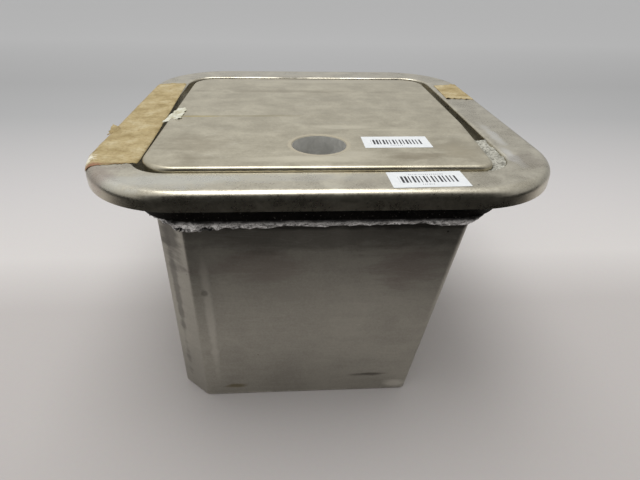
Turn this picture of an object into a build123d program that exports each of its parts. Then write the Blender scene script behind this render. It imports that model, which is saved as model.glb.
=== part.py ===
from build123d import *

import os

os.makedirs("parts", exist_ok=True)

# A flush-fitting aluminium junction box. A thick flange frame carries a recessed well, and the well
# hangs a bent sheet body below it. A loose cover plate with a bored sleeve lies in the well on a
# gasket. Inside are a mounting plate, a terminal rail and an earth bar.
# Millimetres, +Z up, origin under the middle of the flange at the underside of the body.

# ---- driving dimensions ----

flange_width = 356.0
flange_depth = 363.0
flange_thick = 13.5
flange_corner = 78.0
flange_round = 7.0
flange_top = 235.0
flange_under = flange_top - flange_thick

opening_width = 282.0
opening_depth = 288.0
opening_corner = 29.0
opening_round = 2.0
opening_center = (-0.5, -3.6)

collar_width = 288.0
collar_depth = 296.0
collar_corner = 43.0
collar_center = (-0.5, -3.6)
collar_wall = 4.0
collar_foot = 198.0
well_floor_thick = 4.0

seat_width = 240.0
seat_depth = 242.0
seat_corner = 14.0
seat_center = (-2.0, -11.0)
seat_thick = 8.0
seat_top = flange_under

cover_left = -133.5
cover_right = 130.5
cover_front = -146.5
cover_back = 122.5
cover_thick = 13.0
cover_corner = 26.0
cover_worn_corner = 15.0
# The right edge leans in towards the front, where it has been ground to clear the opening.
cover_worn = 6.0
cover_worn_start = -45.0
cover_worn_blend = 150.0
cover_round = 3.0
cover_lower_chamfer = 1.0
cover_proud = 2.8
cover_top = flange_top + cover_proud
cover_under = cover_top - cover_thick

sleeve_center = (-2.6, -100.8)
sleeve_bore = 21.4
sleeve_radius = 25.0
sleeve_length = 38.0
sleeve_chamfer = 0.6
sleeve_weld_leg = 3.0

sheet = 3.0
body_left = -132.0
body_front = -143.0
body_back = 131.0
body_foot_right = 84.5
body_head_right = 117.0
facet_x = 24.0
facet_y = 21.0
fold_radius = 4.0
bend_radius = 6.0
seam_left = body_left + facet_x + 4.0
seam_inset = bend_radius + 1.0

edge_weld = 2.5
edge_weld_foot = 0.4
edge_weld_round = 1.6
bead_reach = 8.5
bead_drop = 13.5
bead_toe = 0.6
flange_bead = 4.0
flange_bead_toe = 0.4
seam_width = 7.0
seam_proud = 1.4

hub_radius = 21.0
hub_bore = 15.1
hub_length = 26.0
hub_height = 118.0
hub_places = (-72.0, 28.0)
hub_inner = 8.0
hub_weld_leg = 4.0
hub_chamfer = 1.0
plug_across_flats = 32.0
plug_head = 10.0
plug_shank = 14.0
plug_chamfer = 1.2
earth_place = (-90.0, 34.0)
earth_hole = 4.2

plate_width = 160.0
plate_depth = 190.0
plate_thick = 2.5
plate_corner = 6.0
plate_center = (-24.0, -6.0)
post_height = 15.0
post_radius = 5.0
stud_radius = 3.0
plate_top = sheet + post_height + plate_thick

rail_length = 140.0
rail_width = 35.0
rail_inner = 27.0
rail_height = 7.5
rail_gauge = 1.0
rail_line = -12.0
rail_top = plate_top + rail_height

block_pitch = 8.2
block_width = 8.0
block_count = 10
block_depth = 46.0
block_height = 34.0

label_length = 54.0
label_height = 25.4
paper = 0.2

# ---- fits and small hardware ----

running_fit = 0.05
stud_play = 0.3
small_shank = 1.95
small_hole = 2.0
washer_radius = 6.0
washer_thick = 1.5
nut_across_flats = 10.0
nut_thick = 5.0
rail_screw_head = 4.0
rail_screw_head_thick = 2.5
clamp_screw_radius = 2.4
clamp_screw_length = 8.0
screw_well_radius = 2.6
screw_well_depth = 12.0
wire_mouth_radius = 2.4
bar_screw_head = 3.2
bar_screw_head_thick = 2.4
bar_screw_hole = 1.9
bar_wire_hole = 2.6
earth_stud_radius = 4.0
earth_stud_hole = 4.1

# ---- small helpers ----


def write(builder, name):
    """Label one finished piece and write it to its own file."""
    builder.part.label = name
    export_step(builder.part, f"parts/{name}.step")


def right_wall(height):
    """X of the leaning right wall's outer face at a height."""
    lean = (body_head_right - body_foot_right) / collar_foot
    return body_foot_right + lean * height


def wrap_corners(right):
    """Corners of the bent body in plan: a flat facet at each left corner."""
    return [
        (body_left + facet_x, body_front),
        (right, body_front),
        (right, body_back),
        (body_left + facet_x, body_back),
        (body_left, body_back - facet_y),
        (body_left, body_front + facet_y),
    ]


def body_plan(right, grow=0.0):
    """Plan of the bent body, with its folds and bends rounded."""
    with BuildSketch() as plan:
        with BuildLine():
            Polyline(*wrap_corners(right), close=True)
        make_face()
        fillet(plan.vertices().group_by(Axis.X)[-1], bend_radius)
        fillet(plan.vertices().group_by(Axis.X)[0], fold_radius)
        folds = plan.vertices().filter_by(lambda v: abs(v.X - body_left - facet_x) < 0.01)
        fillet(folds, fold_radius)
        if grow:
            offset(amount=grow)
    return plan.sketch_local


def opening_plan(grow=0.0):
    """Plan of the opening in the flange, grown all round."""
    with BuildSketch() as plan:
        with Locations(opening_center):
            RectangleRounded(
                opening_width + 2 * grow, opening_depth + 2 * grow, opening_corner + grow
            )
    return plan.sketch_local


def collar_plan(grow=0.0):
    """Plan of the collar's outside, grown all round."""
    with BuildSketch() as plan:
        with Locations(collar_center):
            RectangleRounded(
                collar_width + 2 * grow, collar_depth + 2 * grow, collar_corner + grow
            )
    return plan.sketch_local


def cover_plan(grow=0.0):
    """Plan of the cover, ground in along its right edge towards the front."""
    with BuildSketch() as plan:
        with BuildLine():
            Polyline(
                (cover_left, cover_front),
                (cover_right - cover_worn, cover_front),
                (cover_right, cover_worn_start),
                (cover_right, cover_back),
                (cover_left, cover_back),
                close=True,
            )
        make_face()
        bend = plan.vertices().filter_by(lambda v: abs(v.Y - cover_worn_start) < 0.01)
        fillet(bend, cover_worn_blend)
        front_right = plan.vertices().sort_by(lambda v: v.X - v.Y)[-1]
        fillet(front_right, cover_worn_corner)
        corners = plan.vertices().group_by(Axis.X)[0] + plan.vertices().group_by(Axis.Y)[-1][-1:]
        fillet(corners, cover_corner)
        if grow:
            offset(amount=grow)
    return plan.sketch_local


def slab(plan, low, high, hole=None):
    """A flat piece between two heights, cut through by an optional second plan."""
    with BuildPart() as piece:
        with BuildSketch(Plane.XY.offset(low)):
            add(plan)
            if hole is not None:
                add(hole, mode=Mode.SUBTRACT)
        extrude(amount=high - low)
    return piece


# ---- the fixed frame: flange, well and seat ----

# The flange is a thick plate ring with softened upper edges.
with BuildPart() as flange_frame:
    with BuildSketch(Plane.XY.offset(flange_under)):
        RectangleRounded(flange_width, flange_depth, flange_corner)
        add(opening_plan(), mode=Mode.SUBTRACT)
    extrude(amount=flange_thick)
    rims = flange_frame.faces().sort_by(Axis.Z)[-1]
    fillet(rims.outer_wire().edges(), flange_round)
    rims = flange_frame.faces().sort_by(Axis.Z)[-1]
    fillet(rims.inner_wires()[0].edges(), opening_round)
write(flange_frame, "flange_frame")

# The collar is a rolled strip that makes the sides of the well.
collar_inner = collar_plan(-collar_wall)
well_collar = slab(collar_plan(), collar_foot + well_floor_thick, flange_under, collar_inner)
write(well_collar, "well_collar")

# The well's floor closes the collar down to the mouth of the body.
mouth = body_plan(right_wall(collar_foot), -sheet)
well_floor = slab(collar_plan(), collar_foot, collar_foot + well_floor_thick, mouth)
write(well_floor, "well_floor")

# The seat is a flat bar ring inside the collar that carries the cover.
with BuildSketch() as seat_mouth:
    with Locations(seat_center):
        RectangleRounded(seat_width, seat_depth, seat_corner)
cover_seat = slab(collar_inner, seat_top - seat_thick, seat_top, seat_mouth.sketch_local)
write(cover_seat, "cover_seat")

# The gasket lies on the seat, just inside the cover's edge.
with BuildSketch() as gasket_mouth:
    with Locations(seat_center):
        RectangleRounded(seat_width + 2, seat_depth + 2, seat_corner + 1)
cover_gasket = slab(cover_plan(-2), seat_top, cover_under, gasket_mouth.sketch_local)
write(cover_gasket, "cover_gasket")

# ---- the body: one bent sheet with a leaning right wall, and its floor ----

# The solid block that the sheet wraps, used to shape the shell and its welds.
with BuildPart() as body_core:
    with BuildSketch(Plane.XY.offset(sheet)):
        with BuildLine():
            Polyline(*wrap_corners(body_head_right), close=True)
        make_face()
    extrude(amount=collar_foot - sheet)
    with BuildSketch(Plane.XZ.offset(-body_back)):
        with BuildLine():
            Polyline(
                (body_left, sheet),
                (right_wall(sheet), sheet),
                (body_head_right, collar_foot),
                (body_left, collar_foot),
                close=True,
            )
        make_face()
    extrude(amount=body_back - body_front, mode=Mode.INTERSECT)
    uprights = body_core.edges().filter_by(lambda e: abs(e.tangent_at(0.5).Z) > 0.9)
    fillet(uprights.group_by(Axis.X)[-1], bend_radius)
    uprights = body_core.edges().filter_by(Axis.Z).filter_by(lambda e: e.center().X < 0)
    fillet(uprights, fold_radius)

# The back wall is a flat plate let in between the two bent ends of the sheet.
with BuildPart() as back_zone:
    with BuildSketch(Plane.XZ.offset(-body_back)):
        with BuildLine():
            Polyline(
                (seam_left, sheet),
                (right_wall(sheet) - seam_inset, sheet),
                (right_wall(collar_foot) - seam_inset, collar_foot),
                (seam_left, collar_foot),
                close=True,
            )
        make_face()
    extrude(amount=sheet)

with BuildPart() as body_wrap:
    add(body_core.part)
    ends = [body_wrap.faces().sort_by(Axis.Z)[0], body_wrap.faces().sort_by(Axis.Z)[-1]]
    offset(amount=-sheet, openings=ends)
    add(back_zone.part, mode=Mode.SUBTRACT)
write(body_wrap, "body_wrap")

with BuildPart() as back_wall:
    add(back_zone.part)
    # Round holes for the conduit hubs and the earth stud.
    with BuildSketch(Plane.XZ.offset(-body_back)):
        with Locations(*[(x, hub_height) for x in hub_places]):
            Circle(hub_radius)
        with Locations(earth_place):
            Circle(earth_hole)
    extrude(amount=sheet, mode=Mode.SUBTRACT)
write(back_wall, "back_wall")

foot_plan = body_plan(right_wall(sheet))
foot_inner = body_plan(right_wall(sheet), -edge_weld)
bottom_plate = slab(foot_inner, 0, sheet)
write(bottom_plate, "bottom_plate")

# ---- welds ----

# The corner weld round the floor, ground nearly flush.
with BuildPart() as bottom_weld:
    with BuildSketch(Plane.XY.offset(edge_weld_foot)):
        add(foot_plan)
        add(foot_inner, mode=Mode.SUBTRACT)
    extrude(amount=sheet - edge_weld_foot)
    lower_rim = bottom_weld.faces().sort_by(Axis.Z)[0].outer_wire().edges()
    fillet(lower_rim, edge_weld_round)
write(bottom_weld, "bottom_weld")

# The heavy fillet weld between the well's floor and the body.
with BuildPart() as collar_weld:
    with BuildSketch(Plane.XY.offset(collar_foot - bead_drop)):
        add(body_plan(right_wall(collar_foot - bead_drop), bead_toe))
    with BuildSketch(Plane.XY.offset(collar_foot)):
        add(body_plan(right_wall(collar_foot), bead_reach))
    loft()
    add(body_core.part, mode=Mode.SUBTRACT)
write(collar_weld, "collar_weld")

# The neat fillet weld between the collar and the underside of the flange.
with BuildPart() as flange_weld:
    with BuildSketch(Plane.XY.offset(flange_under - flange_bead)):
        add(collar_plan(flange_bead_toe))
    with BuildSketch(Plane.XY.offset(flange_under)):
        add(collar_plan(flange_bead))
    loft()
    with BuildSketch(Plane.XY.offset(flange_under - flange_bead)):
        add(collar_plan())
    extrude(amount=flange_bead, mode=Mode.SUBTRACT)
write(flange_weld, "flange_weld")

# The two seams that close the back wall into the bent sheet.
seam_low = sheet + 2
seam_high = collar_foot - bead_drop - 1
seam_lines = [
    (seam_left, seam_left),
    (right_wall(seam_low) - seam_inset, right_wall(seam_high) - seam_inset),
]
with BuildPart() as back_seam_welds:
    for foot_x, head_x in seam_lines:
        foot = Vector(foot_x, body_back, seam_low)
        head = Vector(head_x, body_back, seam_high)
        rise = head - foot
        with BuildSketch(Plane(origin=foot, x_dir=(rise.Z, 0, -rise.X), z_dir=rise)):
            with BuildLine():
                ThreePointArc((-seam_width / 2, 0), (0, seam_proud), (seam_width / 2, 0))
                Line((seam_width / 2, 0), (-seam_width / 2, 0))
            make_face()
        extrude(amount=rise.length)
write(back_seam_welds, "back_seam_welds")

# ---- conduit entries in the back wall ----

# Half couplings welded through the wall.
with BuildPart() as conduit_hubs:
    with BuildSketch(Plane.XZ.offset(-(body_back - hub_inner + hub_length))):
        with Locations(*[(x, hub_height) for x in hub_places]):
            Circle(hub_radius)
            Circle(hub_bore, mode=Mode.SUBTRACT)
    extrude(amount=hub_length)
    outer_rims = conduit_hubs.edges().filter_by(GeomType.CIRCLE).group_by(Axis.Y)[-1]
    chamfer(outer_rims.filter_by(lambda e: e.radius > hub_bore + hub_chamfer), hub_chamfer)
write(conduit_hubs, "conduit_hubs")

with BuildPart() as hub_welds:
    for x in hub_places:
        with BuildSketch(Plane.YZ.offset(x)):
            with BuildLine():
                Polyline(
                    (body_back, hub_height + hub_radius),
                    (body_back + hub_weld_leg, hub_height + hub_radius),
                    (body_back, hub_height + hub_radius + hub_weld_leg),
                    close=True,
                )
            make_face()
        revolve(axis=Axis((x, 0, hub_height), (0, 1, 0)))
write(hub_welds, "hub_welds")

# One coupling is closed with a hexagon plug.
plug_face = body_back - hub_inner + hub_length
with BuildPart() as entry_plug:
    with BuildSketch(Plane.XZ.offset(-(plug_face + plug_head))):
        with Locations((hub_places[1], hub_height)):
            RegularPolygon(plug_across_flats / 2, 6, major_radius=False)
    extrude(amount=plug_head)
    chamfer(entry_plug.faces().sort_by(Axis.Y)[-1].edges(), plug_chamfer)
    with BuildSketch(Plane.XZ.offset(-plug_face)):
        with Locations((hub_places[1], hub_height)):
            Circle(hub_bore - running_fit)
    extrude(amount=plug_shank)
write(entry_plug, "entry_plug")

# ---- cover and sleeve ----

with BuildPart() as cover_plate:
    with BuildSketch(Plane.XY.offset(cover_under)):
        add(cover_plan())
        with Locations(sleeve_center):
            Circle(sleeve_radius + running_fit, mode=Mode.SUBTRACT)
    extrude(amount=cover_thick)
    fillet(cover_plate.faces().sort_by(Axis.Z)[-1].outer_wire().edges(), cover_round)
    chamfer(cover_plate.faces().sort_by(Axis.Z)[0].outer_wire().edges(), cover_lower_chamfer)
write(cover_plate, "cover_plate")

# A turned sleeve set flush into the cover, for a pipe or a lifting key.
with BuildPart() as cover_sleeve:
    with BuildSketch(Plane.XY.offset(cover_top - sleeve_length)):
        with Locations(sleeve_center):
            Circle(sleeve_radius)
            Circle(sleeve_bore, mode=Mode.SUBTRACT)
    extrude(amount=sleeve_length)
    mouth_edges = cover_sleeve.edges().filter_by(GeomType.CIRCLE).filter_by(
        lambda e: e.radius < sleeve_bore + sleeve_chamfer
    )
    chamfer(mouth_edges, sleeve_chamfer)
write(cover_sleeve, "cover_sleeve")

with BuildPart() as sleeve_weld:
    with BuildSketch(Plane.XZ.offset(-sleeve_center[1])):
        with BuildLine():
            Polyline(
                (sleeve_center[0] + sleeve_radius, cover_under),
                (sleeve_center[0] + sleeve_radius + sleeve_weld_leg, cover_under),
                (sleeve_center[0] + sleeve_radius, cover_under - sleeve_weld_leg),
                close=True,
            )
        make_face()
    revolve(axis=Axis((sleeve_center[0], sleeve_center[1], 0), (0, 0, 1)))
write(sleeve_weld, "sleeve_weld")

# ---- mounting plate on welded posts ----

post_inset = 12.0
post_places = [
    (
        plate_center[0] + sx * (plate_width / 2 - post_inset),
        plate_center[1] + sy * (plate_depth / 2 - post_inset),
    )
    for sx in (-1, 1)
    for sy in (-1, 1)
]
stud_rise = 10.0

with BuildPart() as plate_posts:
    with BuildSketch(Plane.XY.offset(sheet)):
        with Locations(*post_places):
            Circle(post_radius)
    extrude(amount=post_height)
    with BuildSketch(Plane.XY.offset(sheet + post_height)):
        with Locations(*post_places):
            Circle(stud_radius)
    extrude(amount=plate_thick + stud_rise)
write(plate_posts, "plate_posts")

rail_screw_places = [(plate_center[0] + s * (rail_length / 2 - 10), rail_line) for s in (-1, 1)]
bar_length = 84.0
bar_line = 62.0
bar_post_places = [(plate_center[0] + s * (bar_length / 2 - 7), bar_line) for s in (-1, 1)]

with BuildPart() as mounting_plate:
    with BuildSketch(Plane.XY.offset(sheet + post_height)):
        with Locations(plate_center):
            RectangleRounded(plate_width, plate_depth, plate_corner)
        with Locations(*post_places):
            Circle(stud_radius + stud_play, mode=Mode.SUBTRACT)
        with Locations(*rail_screw_places, *bar_post_places):
            Circle(small_hole, mode=Mode.SUBTRACT)
    extrude(amount=plate_thick)
write(mounting_plate, "mounting_plate")

with BuildPart() as plate_washers:
    with BuildSketch(Plane.XY.offset(plate_top)):
        with Locations(*post_places):
            Circle(washer_radius)
            Circle(stud_radius + stud_play, mode=Mode.SUBTRACT)
    extrude(amount=washer_thick)
write(plate_washers, "plate_washers")

with BuildPart() as plate_nuts:
    with BuildSketch(Plane.XY.offset(plate_top + washer_thick)):
        with Locations(*post_places):
            RegularPolygon(nut_across_flats / 2, 6, major_radius=False)
            Circle(stud_radius + running_fit, mode=Mode.SUBTRACT)
    extrude(amount=nut_thick)
write(plate_nuts, "plate_nuts")

# ---- terminal rail, its screws, blocks and end clamps ----

with BuildPart() as terminal_rail:
    with BuildSketch(Plane.YZ.offset(plate_center[0] - rail_length / 2)):
        with BuildLine():
            Polyline(
                (rail_line - rail_width / 2, rail_top),
                (rail_line - rail_inner / 2 + rail_gauge, rail_top),
                (rail_line - rail_inner / 2 + rail_gauge, plate_top + rail_gauge),
                (rail_line + rail_inner / 2 - rail_gauge, plate_top + rail_gauge),
                (rail_line + rail_inner / 2 - rail_gauge, rail_top),
                (rail_line + rail_width / 2, rail_top),
                (rail_line + rail_width / 2, rail_top - rail_gauge),
                (rail_line + rail_inner / 2, rail_top - rail_gauge),
                (rail_line + rail_inner / 2, plate_top),
                (rail_line - rail_inner / 2, plate_top),
                (rail_line - rail_inner / 2, rail_top - rail_gauge),
                (rail_line - rail_width / 2, rail_top - rail_gauge),
                close=True,
            )
        make_face()
    extrude(amount=rail_length)
    with BuildSketch(Plane.XY.offset(plate_top)):
        with Locations(*rail_screw_places):
            Circle(small_hole)
    extrude(amount=rail_gauge, mode=Mode.SUBTRACT)
write(terminal_rail, "terminal_rail")

with BuildPart() as rail_screws:
    with BuildSketch(Plane.XY.offset(plate_top + rail_gauge)):
        with Locations(*rail_screw_places):
            Circle(rail_screw_head)
    extrude(amount=rail_screw_head_thick)
    with BuildSketch(Plane.XY.offset(plate_top + rail_gauge)):
        with Locations(*rail_screw_places):
            Circle(small_shank)
    extrude(amount=-(rail_gauge + plate_thick + 4))
    # A driver slot across each head, half its thickness deep.
    with BuildSketch(Plane.XY.offset(plate_top + rail_gauge + rail_screw_head_thick / 2)):
        with Locations(*rail_screw_places):
            Rectangle(1, 3 * rail_screw_head)
    extrude(amount=rail_screw_head_thick, mode=Mode.SUBTRACT)
write(rail_screws, "rail_screws")

block_start = plate_center[0] - block_pitch * block_count / 2
block_places = [block_start + block_pitch * i for i in range(block_count)]
hook_drop = 3.4
rail_play = 0.25
screw_line = 11.0


def rail_profile(depth, height):
    """Side view of a block that hooks over both lips of the rail, with stepped shoulders."""
    half = depth / 2
    lip_edge = rail_width / 2 + rail_play
    hook = rail_inner / 2 + 1.5
    side = [
        (half, rail_top - hook_drop),
        (half, rail_top + height * 0.45),
        (half - 6, rail_top + height * 0.62),
        (half - 6, rail_top + height * 0.82),
        (half - 9, rail_top + height),
    ]
    foot = [
        (hook, rail_top - hook_drop),
        (hook, rail_top - rail_gauge - rail_play),
        (lip_edge, rail_top - rail_gauge - rail_play),
        (lip_edge, rail_top + 0.1),
    ]
    near = [(rail_line + y, z) for y, z in foot[::-1] + side]
    far = [(rail_line - y, z) for y, z in side[::-1] + foot]
    with BuildSketch() as profile:
        with BuildLine():
            Polyline(*near, *far, close=True)
        make_face()
    return profile.sketch_local


block_profile = rail_profile(block_depth, block_height)
with BuildPart() as terminal_blocks:
    for start in block_places:
        with BuildSketch(Plane.YZ.offset(start)):
            add(block_profile)
        extrude(amount=block_width)
    # Screw wells in the top of each block, and wire mouths in its shoulders.
    with BuildSketch(Plane.XY.offset(rail_top + block_height)):
        for start in block_places:
            with Locations(
                (start + block_width / 2, rail_line - screw_line),
                (start + block_width / 2, rail_line + screw_line),
            ):
                Circle(screw_well_radius)
    extrude(amount=-screw_well_depth, mode=Mode.SUBTRACT)
    with BuildSketch(Plane.XZ.offset(-(rail_line + block_depth))):
        for start in block_places:
            with Locations((start + block_width / 2, rail_top + block_height * 0.3)):
                Circle(wire_mouth_radius)
    extrude(amount=block_depth / 2 + 9, mode=Mode.SUBTRACT)
    with BuildSketch(Plane.XZ.offset(-(rail_line - block_depth / 2 + 9))):
        for start in block_places:
            with Locations((start + block_width / 2, rail_top + block_height * 0.3)):
                Circle(wire_mouth_radius)
    extrude(amount=block_depth, mode=Mode.SUBTRACT)
write(terminal_blocks, "terminal_blocks")

with BuildPart() as terminal_screws:
    for start in block_places:
        for side in (-1, 1):
            spot = (start + block_width / 2, rail_line + side * screw_line)
            with BuildSketch(Plane.XY.offset(rail_top + block_height - screw_well_depth)):
                with Locations(spot):
                    Circle(clamp_screw_radius)
            extrude(amount=clamp_screw_length)
            with BuildSketch(Plane.XY.offset(rail_top + block_height - 5)):
                with Locations(spot):
                    Rectangle(0.8, 6)
            extrude(amount=2, mode=Mode.SUBTRACT)
write(terminal_screws, "terminal_screws")

clamp_width = 9.5
clamp_profile = rail_profile(40, 22)
clamp_places = (block_places[0] - clamp_width - 0.3, block_places[-1] + block_width + 0.3)
with BuildPart() as end_clamps:
    for start in clamp_places:
        with BuildSketch(Plane.YZ.offset(start)):
            add(clamp_profile)
        extrude(amount=clamp_width)
write(end_clamps, "end_clamps")

# ---- earth bar and earth stud ----

bar_rise = 10.0
bar_size = 9.0
bar_screw_count = 6
bar_screw_pitch = 11.0

with BuildPart() as earth_bar_posts:
    with BuildSketch(Plane.XY.offset(plate_top)):
        with Locations(*bar_post_places):
            Circle(4.5)
    extrude(amount=bar_rise)
    with BuildSketch(Plane.XY.offset(plate_top)):
        with Locations(*bar_post_places):
            Circle(small_shank)
    extrude(amount=-(plate_thick + 3))
write(earth_bar_posts, "earth_bar_posts")

bar_screw_places = [
    (plate_center[0] + (i - (bar_screw_count - 1) / 2) * bar_screw_pitch, bar_line)
    for i in range(bar_screw_count)
]
bar_low = plate_top + bar_rise
with BuildPart() as earth_bar:
    with BuildSketch(Plane.XY.offset(bar_low)):
        with Locations((plate_center[0], bar_line)):
            Rectangle(bar_length, bar_size)
        with Locations(*bar_screw_places):
            Circle(bar_screw_hole, mode=Mode.SUBTRACT)
    extrude(amount=bar_size)
    with BuildSketch(Plane.XZ.offset(-(bar_line + bar_size))):
        with Locations(*[(x, bar_low + bar_size * 0.4) for x, _ in bar_screw_places]):
            Circle(bar_wire_hole)
    extrude(amount=2 * bar_size, mode=Mode.SUBTRACT)
write(earth_bar, "earth_bar")

with BuildPart() as earth_bar_screws:
    with BuildSketch(Plane.XY.offset(bar_low + bar_size)):
        with Locations(*bar_screw_places):
            Circle(bar_screw_head)
    extrude(amount=bar_screw_head_thick)
    with BuildSketch(Plane.XY.offset(bar_low + bar_size)):
        with Locations(*bar_screw_places):
            Circle(bar_screw_hole - running_fit)
    extrude(amount=-1.9)
    with BuildSketch(Plane.XY.offset(bar_low + bar_size + bar_screw_head_thick / 2)):
        with Locations(*bar_screw_places):
            Rectangle(0.9, 7)
    extrude(amount=bar_screw_head_thick, mode=Mode.SUBTRACT)
write(earth_bar_screws, "earth_bar_screws")

earth_reach = 20.0
with BuildPart() as earth_stud:
    with BuildSketch(Plane.XZ.offset(-(body_back + earth_reach))):
        with Locations(earth_place):
            Circle(earth_stud_radius)
    extrude(amount=2 * earth_reach - sheet)
    chamfer(earth_stud.edges().filter_by(GeomType.CIRCLE), 0.7)
write(earth_stud, "earth_stud")


def earth_pair(name, across, thick, gap, hexagon):
    """The same washer or nut on the outside and the inside of the back wall."""
    with BuildPart() as pair:
        for face in (body_back + gap + thick, body_back - sheet - gap):
            with BuildSketch(Plane.XZ.offset(-face)):
                with Locations(earth_place):
                    if hexagon:
                        RegularPolygon(across / 2, 6, major_radius=False)
                    else:
                        Circle(across / 2)
                    Circle(earth_stud_hole, mode=Mode.SUBTRACT)
            extrude(amount=thick)
    write(pair, name)


earth_washer = 1.6
earth_pair("earth_washers", 16.0, earth_washer, 0.0, False)
earth_pair("earth_nuts", 13.0, 6.5, earth_washer, True)

# ---- labels, tape and what has lodged in the gap ----


def sticker(name, surface, center, tilt):
    """A blank paper label on an upper surface, turned a little."""
    with BuildPart() as label:
        with BuildSketch(Plane.XY.offset(surface)):
            with Locations(Location(center, tilt)):
                Rectangle(label_length, label_height)
        extrude(amount=paper)
    write(label, name)


sticker("flange_label", flange_top, (69.0, -162.0), 2.0)
sticker("cover_label", cover_top, (59.8, -96.2), 0.8)

# Masking tape pressed over the flange's top and both of its rounded edges.
tape_hang = 9.5
with BuildPart() as tape_skin:
    with BuildSketch(Plane.XY.offset(flange_top - tape_hang)):
        RectangleRounded(
            flange_width + 2 * paper, flange_depth + 2 * paper, flange_corner + paper
        )
        add(opening_plan(-paper), mode=Mode.SUBTRACT)
    extrude(amount=tape_hang + paper)
    rims = tape_skin.faces().sort_by(Axis.Z)[-1]
    fillet(rims.outer_wire().edges(), flange_round + paper)
    rims = tape_skin.faces().sort_by(Axis.Z)[-1]
    fillet(rims.inner_wires()[0].edges(), opening_round + paper)
    add(flange_frame.part, mode=Mode.SUBTRACT)


def tape(name, outline):
    """A torn length of tape: the skin over the flange, kept inside an outline."""
    with BuildPart() as strip:
        add(tape_skin.part)
        with BuildSketch(Plane.XY.offset(flange_under)):
            with BuildLine():
                Polyline(*outline, close=True)
            make_face()
        extrude(amount=2 * flange_thick, mode=Mode.INTERSECT)
    write(strip, name)


tape(
    "masking_tape_left",
    [(-182, -118), (-173, -136), (-158, -133), (-142.3, -130), (-142.3, 104), (-150, 108), (-182, 100)],
)
tape("masking_tape_right", [(144, 46), (172, 42), (173, 110), (146, 103)])

# A scrap of torn tape on the cover's left edge.
with BuildPart() as tape_scrap:
    with BuildSketch(Plane.XY.offset(cover_top)):
        with BuildLine():
            Polyline((-130, -39), (-122, -35), (-120, -23), (-123, -4), (-130, -5), close=True)
        make_face()
    extrude(amount=paper)
write(tape_scrap, "tape_scrap")

# Dried sealant packed into the gap at the front right corner of the cover.
sealant_middle = (124.0, -118.0)
with BuildPart() as corner_sealant:
    with BuildSketch(Plane.XY.offset(seat_top)):
        add(opening_plan())
        add(cover_plan(0.5), mode=Mode.SUBTRACT)
    extrude(amount=flange_top - opening_round - seat_top)
    with BuildSketch(Plane.XY.offset(seat_top)):
        with Locations(sealant_middle):
            Rectangle(60, 75)
    extrude(amount=flange_thick, mode=Mode.INTERSECT)
    add(flange_frame.part, mode=Mode.SUBTRACT)
write(corner_sealant, "corner_sealant")
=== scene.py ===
import math

import bpy
from mathutils import Euler, Matrix, Vector, noise


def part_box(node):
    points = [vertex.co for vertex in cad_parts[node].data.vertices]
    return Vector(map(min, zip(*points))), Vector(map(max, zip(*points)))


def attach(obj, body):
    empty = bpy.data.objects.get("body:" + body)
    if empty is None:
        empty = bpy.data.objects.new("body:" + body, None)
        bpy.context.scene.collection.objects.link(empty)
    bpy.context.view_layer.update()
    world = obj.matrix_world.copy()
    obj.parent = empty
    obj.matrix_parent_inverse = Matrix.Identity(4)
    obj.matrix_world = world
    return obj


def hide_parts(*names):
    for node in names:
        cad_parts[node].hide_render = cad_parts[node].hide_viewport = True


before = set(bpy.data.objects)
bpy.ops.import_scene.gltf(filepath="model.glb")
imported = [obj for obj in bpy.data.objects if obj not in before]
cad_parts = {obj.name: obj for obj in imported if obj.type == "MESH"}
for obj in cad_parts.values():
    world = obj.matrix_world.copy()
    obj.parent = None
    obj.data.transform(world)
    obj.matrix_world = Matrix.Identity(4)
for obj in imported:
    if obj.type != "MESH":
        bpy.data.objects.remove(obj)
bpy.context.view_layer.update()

# ---- Camera ----
# A phone held over the front edge of the flange, a little to its left, looking down at the cover.
# Its place is given in widths of the flange, from the middle of the flange's upper face.

flange_low, flange_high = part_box("flange_frame")
flange_width = flange_high.x - flange_low.x
flange_middle = (flange_low + flange_high) / 2
flange_middle.z = flange_high.z
camera_data = bpy.data.cameras.new("camera")
camera_data.sensor_width = 36.0
camera_data.lens = 25.87
camera = bpy.data.objects.new("camera", camera_data)
camera.location = flange_middle + flange_width * Vector((-0.072, -1.258, 0.366))
pitch, yaw, roll = math.radians(31.88), math.radians(4.20), math.radians(1.35)
facing = Euler((math.pi / 2 - pitch, 0, -yaw)).to_matrix() @ Matrix.Rotation(roll, 3, "Z")
camera.rotation_euler = facing.to_euler()
bpy.context.scene.collection.objects.link(camera)
bpy.context.scene.camera = camera
bpy.context.scene.view_settings.view_transform = "Standard"

# ---- Floor and light ----
# A pale matt studio floor in a plain room: bright overhead, grey towards the back wall, and, in reflections
# only, dark low down in front, where a person stands. One soft lamp above gives the cast shadows; the
# floor's tone adds painted shade.


def srgb(code):
    """An sRGB hex colour as linear RGBA."""
    channels = [int(code[i:i + 2], 16) / 255 for i in (0, 2, 4)]
    return [c / 12.92 if c <= 0.04045 else ((c + 0.055) / 1.055) ** 2.4 for c in channels] + [1.0]


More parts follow.
